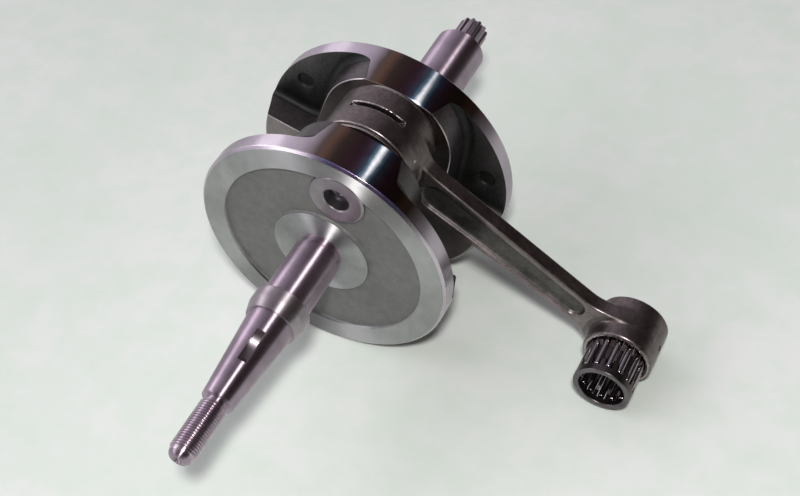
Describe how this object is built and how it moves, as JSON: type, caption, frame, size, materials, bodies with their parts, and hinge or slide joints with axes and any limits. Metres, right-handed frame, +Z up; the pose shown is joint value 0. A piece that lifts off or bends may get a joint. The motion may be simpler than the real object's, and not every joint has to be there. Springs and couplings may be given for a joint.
{
  "type": "crankshaft",
  "caption": "Pressed-up crankshaft with round webs, a tapered keyed shaft end, a splined drive end, an I-beam connecting rod and needle roller bearings.",
  "frame": {"origin": "on the crank axis, at the middle plane between the two webs", "axes": "+Y along the crank axis to the drive side, -Y to the flywheel taper, +Z up as the crank lies on a bench, +X towards the connecting rod's small end"},
  "size_m": [0.2024, 0.2768, 0.12],
  "materials": {
    "forged_steel": "turned and ground steel, polished journals, matt recess, heat tint beside the pin",
    "pin_steel": "ground, hardened steel",
    "plug_steel": "dull pressed steel",
    "collar_steel": "ground steel",
    "rod_steel": "dark forged steel, satin",
    "washer_steel": "lapped steel",
    "cage_steel": "dark hardened sheet steel",
    "needle_steel": "polished bearing steel"
  },
  "bodies": {
    "crank": {"flywheel_side_half": "forged_steel", "drive_side_half": "forged_steel", "crank_pin": "pin_steel", "pin_plug_flywheel_side": "plug_steel", "pin_plug_drive_side": "plug_steel", "seal_collar": "collar_steel"},
    "rod": {"connecting_rod": "rod_steel"},
    "flywheel_side_washer": {"thrust_washer_flywheel_side": "washer_steel"},
    "drive_side_washer": {"thrust_washer_drive_side": "washer_steel"},
    "big_end_bearing_cage": {"big_end_cage": "cage_steel"},
    "small_end_bearing_cage": {"small_end_cage": "cage_steel"},
    "roller_big_end_needle_01": {"big_end_needle_01": "needle_steel"},
    "roller_big_end_needle_02": {"big_end_needle_02": "needle_steel"},
    "roller_big_end_needle_03": {"big_end_needle_03": "needle_steel"},
    "roller_big_end_needle_04": {"big_end_needle_04": "needle_steel"},
    "roller_big_end_needle_05": {"big_end_needle_05": "needle_steel"},
    "roller_big_end_needle_06": {"big_end_needle_06": "needle_steel"},
    "roller_big_end_needle_07": {"big_end_needle_07": "needle_steel"},
    "roller_big_end_needle_08": {"big_end_needle_08": "needle_steel"},
    "roller_big_end_needle_09": {"big_end_needle_09": "needle_steel"},
    "roller_big_end_needle_10": {"big_end_needle_10": "needle_steel"},
    "roller_big_end_needle_11": {"big_end_needle_11": "needle_steel"},
    "roller_big_end_needle_12": {"big_end_needle_12": "needle_steel"},
    "roller_big_end_needle_13": {"big_end_needle_13": "needle_steel"},
    "roller_big_end_needle_14": {"big_end_needle_14": "needle_steel"},
    "roller_small_end_needle_01": {"small_end_needle_01": "needle_steel"},
    "roller_small_end_needle_02": {"small_end_needle_02": "needle_steel"},
    "roller_small_end_needle_03": {"small_end_needle_03": "needle_steel"},
    "roller_small_end_needle_04": {"small_end_needle_04": "needle_steel"},
    "roller_small_end_needle_05": {"small_end_needle_05": "needle_steel"},
    "roller_small_end_needle_06": {"small_end_needle_06": "needle_steel"},
    "roller_small_end_needle_07": {"small_end_needle_07": "needle_steel"},
    "roller_small_end_needle_08": {"small_end_needle_08": "needle_steel"},
    "roller_small_end_needle_09": {"small_end_needle_09": "needle_steel"},
    "roller_small_end_needle_10": {"small_end_needle_10": "needle_steel"},
    "roller_small_end_needle_11": {"small_end_needle_11": "needle_steel"},
    "roller_small_end_needle_12": {"small_end_needle_12": "needle_steel"},
    "roller_small_end_needle_13": {"small_end_needle_13": "needle_steel"},
    "roller_small_end_needle_14": {"small_end_needle_14": "needle_steel"}
  },
  "joints": [
    {"name": "rod_swing", "type": "hinge", "parent": "crank", "child": "rod", "pos_m": [0.01353, 0, 0.03658], "axis": [0, 1, 0], "continuous": true},
    {"name": "flywheel_side_washer_turn", "type": "hinge", "parent": "crank", "child": "flywheel_side_washer", "pos_m": [0.01353, 0, 0.03658], "axis": [0, 1, 0], "continuous": true},
    {"name": "drive_side_washer_turn", "type": "hinge", "parent": "crank", "child": "drive_side_washer", "pos_m": [0.01353, 0, 0.03658], "axis": [0, 1, 0], "continuous": true},
    {"name": "big_end_cage_turn", "type": "hinge", "parent": "crank", "child": "big_end_bearing_cage", "pos_m": [0.01353, 0, 0.03658], "axis": [0, 1, 0], "continuous": true},
    {"name": "small_end_bearing_slide", "type": "slide", "parent": "rod", "child": "small_end_bearing_cage", "axis": [0, 1, 0], "range_m": [-0.005, 0.0175]},
    {"name": "big_end_needle_01_spin", "type": "hinge", "parent": "big_end_bearing_cage", "child": "roller_big_end_needle_01", "pos_m": [0.01212, 0, 0.05152], "axis": [0, 1, 0], "continuous": true},
    {"name": "big_end_needle_02_spin", "type": "hinge", "parent": "big_end_bearing_cage", "child": "roller_big_end_needle_02", "pos_m": [0.00577, 0, 0.04942], "axis": [0, 1, 0], "continuous": true},
    {"name": "big_end_needle_03_spin", "type": "hinge", "parent": "big_end_bearing_cage", "child": "roller_big_end_needle_03", "pos_m": [0.00097, 0, 0.04478], "axis": [0, 1, 0], "continuous": true},
    {"name": "big_end_needle_04_spin", "type": "hinge", "parent": "big_end_bearing_cage", "child": "roller_big_end_needle_04", "pos_m": [-0.00135, 0, 0.03852], "axis": [0, 1, 0], "continuous": true},
    {"name": "big_end_needle_05_spin", "type": "hinge", "parent": "big_end_bearing_cage", "child": "roller_big_end_needle_05", "pos_m": [-0.00072, 0, 0.03187], "axis": [0, 1, 0], "continuous": true},
    {"name": "big_end_needle_06_spin", "type": "hinge", "parent": "big_end_bearing_cage", "child": "roller_big_end_needle_06", "pos_m": [0.00273, 0, 0.02616], "axis": [0, 1, 0], "continuous": true},
    {"name": "big_end_needle_07_spin", "type": "hinge", "parent": "big_end_bearing_cage", "child": "roller_big_end_needle_07", "pos_m": [0.00833, 0, 0.02251], "axis": [0, 1, 0], "continuous": true},
    {"name": "big_end_needle_08_spin", "type": "hinge", "parent": "big_end_bearing_cage", "child": "roller_big_end_needle_08", "pos_m": [0.01495, 0, 0.02164], "axis": [0, 1, 0], "continuous": true},
    {"name": "big_end_needle_09_spin", "type": "hinge", "parent": "big_end_bearing_cage", "child": "roller_big_end_needle_09", "pos_m": [0.02129, 0, 0.02373], "axis": [0, 1, 0], "continuous": true},
    {"name": "big_end_needle_10_spin", "type": "hinge", "parent": "big_end_bearing_cage", "child": "roller_big_end_needle_10", "pos_m": [0.02609, 0, 0.02837], "axis": [0, 1, 0], "continuous": true},
    {"name": "big_end_needle_11_spin", "type": "hinge", "parent": "big_end_bearing_cage", "child": "roller_big_end_needle_11", "pos_m": [0.02841, 0, 0.03463], "axis": [0, 1, 0], "continuous": true},
    {"name": "big_end_needle_12_spin", "type": "hinge", "parent": "big_end_bearing_cage", "child": "roller_big_end_needle_12", "pos_m": [0.02778, 0, 0.04128], "axis": [0, 1, 0], "continuous": true},
    {"name": "big_end_needle_13_spin", "type": "hinge", "parent": "big_end_bearing_cage", "child": "roller_big_end_needle_13", "pos_m": [0.02433, 0, 0.047], "axis": [0, 1, 0], "continuous": true},
    {"name": "big_end_needle_14_spin", "type": "hinge", "parent": "big_end_bearing_cage", "child": "roller_big_end_needle_14", "pos_m": [0.01874, 0, 0.05065], "axis": [0, 1, 0], "continuous": true},
    {"name": "small_end_needle_01_spin", "type": "hinge", "parent": "small_end_bearing_cage", "child": "roller_small_end_needle_01", "pos_m": [0.13664, -0.0175, -0.0385], "axis": [0, 1, 0], "continuous": true},
    {"name": "small_end_needle_02_spin", "type": "hinge", "parent": "small_end_bearing_cage", "child": "roller_small_end_needle_02", "pos_m": [0.13317, -0.0175, -0.03473], "axis": [0, 1, 0], "continuous": true},
    {"name": "small_end_needle_03_spin", "type": "hinge", "parent": "small_end_bearing_cage", "child": "roller_small_end_needle_03", "pos_m": [0.12842, -0.0175, -0.03284], "axis": [0, 1, 0], "continuous": true},
    {"name": "small_end_needle_04_spin", "type": "hinge", "parent": "small_end_bearing_cage", "child": "roller_small_end_needle_04", "pos_m": [0.12331, -0.0175, -0.03319], "axis": [0, 1, 0], "continuous": true},
    {"name": "small_end_needle_05_spin", "type": "hinge", "parent": "small_end_bearing_cage", "child": "roller_small_end_needle_05", "pos_m": [0.11887, -0.0175, -0.03573], "axis": [0, 1, 0], "continuous": true},
    {"name": "small_end_needle_06_spin", "type": "hinge", "parent": "small_end_bearing_cage", "child": "roller_small_end_needle_06", "pos_m": [0.11597, -0.0175, -0.03995], "axis": [0, 1, 0], "continuous": true},
    {"name": "small_end_needle_07_spin", "type": "hinge", "parent": "small_end_bearing_cage", "child": "roller_small_end_needle_07", "pos_m": [0.11518, -0.0175, -0.045], "axis": [0, 1, 0], "continuous": true},
    {"name": "small_end_needle_08_spin", "type": "hinge", "parent": "small_end_bearing_cage", "child": "roller_small_end_needle_08", "pos_m": [0.11666, -0.0175, -0.0499], "axis": [0, 1, 0], "continuous": true},
    {"name": "small_end_needle_09_spin", "type": "hinge", "parent": "small_end_bearing_cage", "child": "roller_small_end_needle_09", "pos_m": [0.12012, -0.0175, -0.05367], "axis": [0, 1, 0], "continuous": true},
    {"name": "small_end_needle_10_spin", "type": "hinge", "parent": "small_end_bearing_cage", "child": "roller_small_end_needle_10", "pos_m": [0.12488, -0.0175, -0.05556], "axis": [0, 1, 0], "continuous": true},
    {"name": "small_end_needle_11_spin", "type": "hinge", "parent": "small_end_bearing_cage", "child": "roller_small_end_needle_11", "pos_m": [0.12998, -0.0175, -0.05521], "axis": [0, 1, 0], "continuous": true},
    {"name": "small_end_needle_12_spin", "type": "hinge", "parent": "small_end_bearing_cage", "child": "roller_small_end_needle_12", "pos_m": [0.13443, -0.0175, -0.05267], "axis": [0, 1, 0], "continuous": true},
    {"name": "small_end_needle_13_spin", "type": "hinge", "parent": "small_end_bearing_cage", "child": "roller_small_end_needle_13", "pos_m": [0.13733, -0.0175, -0.04845], "axis": [0, 1, 0], "continuous": true},
    {"name": "small_end_needle_14_spin", "type": "hinge", "parent": "small_end_bearing_cage", "child": "roller_small_end_needle_14", "pos_m": [0.13812, -0.0175, -0.0434], "axis": [0, 1, 0], "continuous": true}
  ],
  "couplings": [
    {"joint": "big_end_cage_turn", "follows": "rod_swing", "ratio": 0.56667},
    {"joint": "big_end_needle_01_spin", "follows": "rod_swing", "ratio": 3.6833},
    {"joint": "big_end_needle_02_spin", "follows": "rod_swing", "ratio": 3.6833},
    {"joint": "big_end_needle_03_spin", "follows": "rod_swing", "ratio": 3.6833},
    {"joint": "big_end_needle_04_spin", "follows": "rod_swing", "ratio": 3.6833},
    {"joint": "big_end_needle_05_spin", "follows": "rod_swing", "ratio": 3.6833},
    {"joint": "big_end_needle_06_spin", "follows": "rod_swing", "ratio": 3.6833},
    {"joint": "big_end_needle_07_spin", "follows": "rod_swing", "ratio": 3.6833},
    {"joint": "big_end_needle_08_spin", "follows": "rod_swing", "ratio": 3.6833},
    {"joint": "big_end_needle_09_spin", "follows": "rod_swing", "ratio": 3.6833},
    {"joint": "big_end_needle_10_spin", "follows": "rod_swing", "ratio": 3.6833},
    {"joint": "big_end_needle_11_spin", "follows": "rod_swing", "ratio": 3.6833},
    {"joint": "big_end_needle_12_spin", "follows": "rod_swing", "ratio": 3.6833},
    {"joint": "big_end_needle_13_spin", "follows": "rod_swing", "ratio": 3.6833},
    {"joint": "big_end_needle_14_spin", "follows": "rod_swing", "ratio": 3.6833},
    {"joint": "small_end_needle_02_spin", "follows": "small_end_needle_01_spin", "ratio": 1},
    {"joint": "small_end_needle_03_spin", "follows": "small_end_needle_01_spin", "ratio": 1},
    {"joint": "small_end_needle_04_spin", "follows": "small_end_needle_01_spin", "ratio": 1},
    {"joint": "small_end_needle_05_spin", "follows": "small_end_needle_01_spin", "ratio": 1},
    {"joint": "small_end_needle_06_spin", "follows": "small_end_needle_01_spin", "ratio": 1},
    {"joint": "small_end_needle_07_spin", "follows": "small_end_needle_01_spin", "ratio": 1},
    {"joint": "small_end_needle_08_spin", "follows": "small_end_needle_01_spin", "ratio": 1},
    {"joint": "small_end_needle_09_spin", "follows": "small_end_needle_01_spin", "ratio": 1},
    {"joint": "small_end_needle_10_spin", "follows": "small_end_needle_01_spin", "ratio": 1},
    {"joint": "small_end_needle_11_spin", "follows": "small_end_needle_01_spin", "ratio": 1},
    {"joint": "small_end_needle_12_spin", "follows": "small_end_needle_01_spin", "ratio": 1},
    {"joint": "small_end_needle_13_spin", "follows": "small_end_needle_01_spin", "ratio": 1},
    {"joint": "small_end_needle_14_spin", "follows": "small_end_needle_01_spin", "ratio": 1}
  ]
}
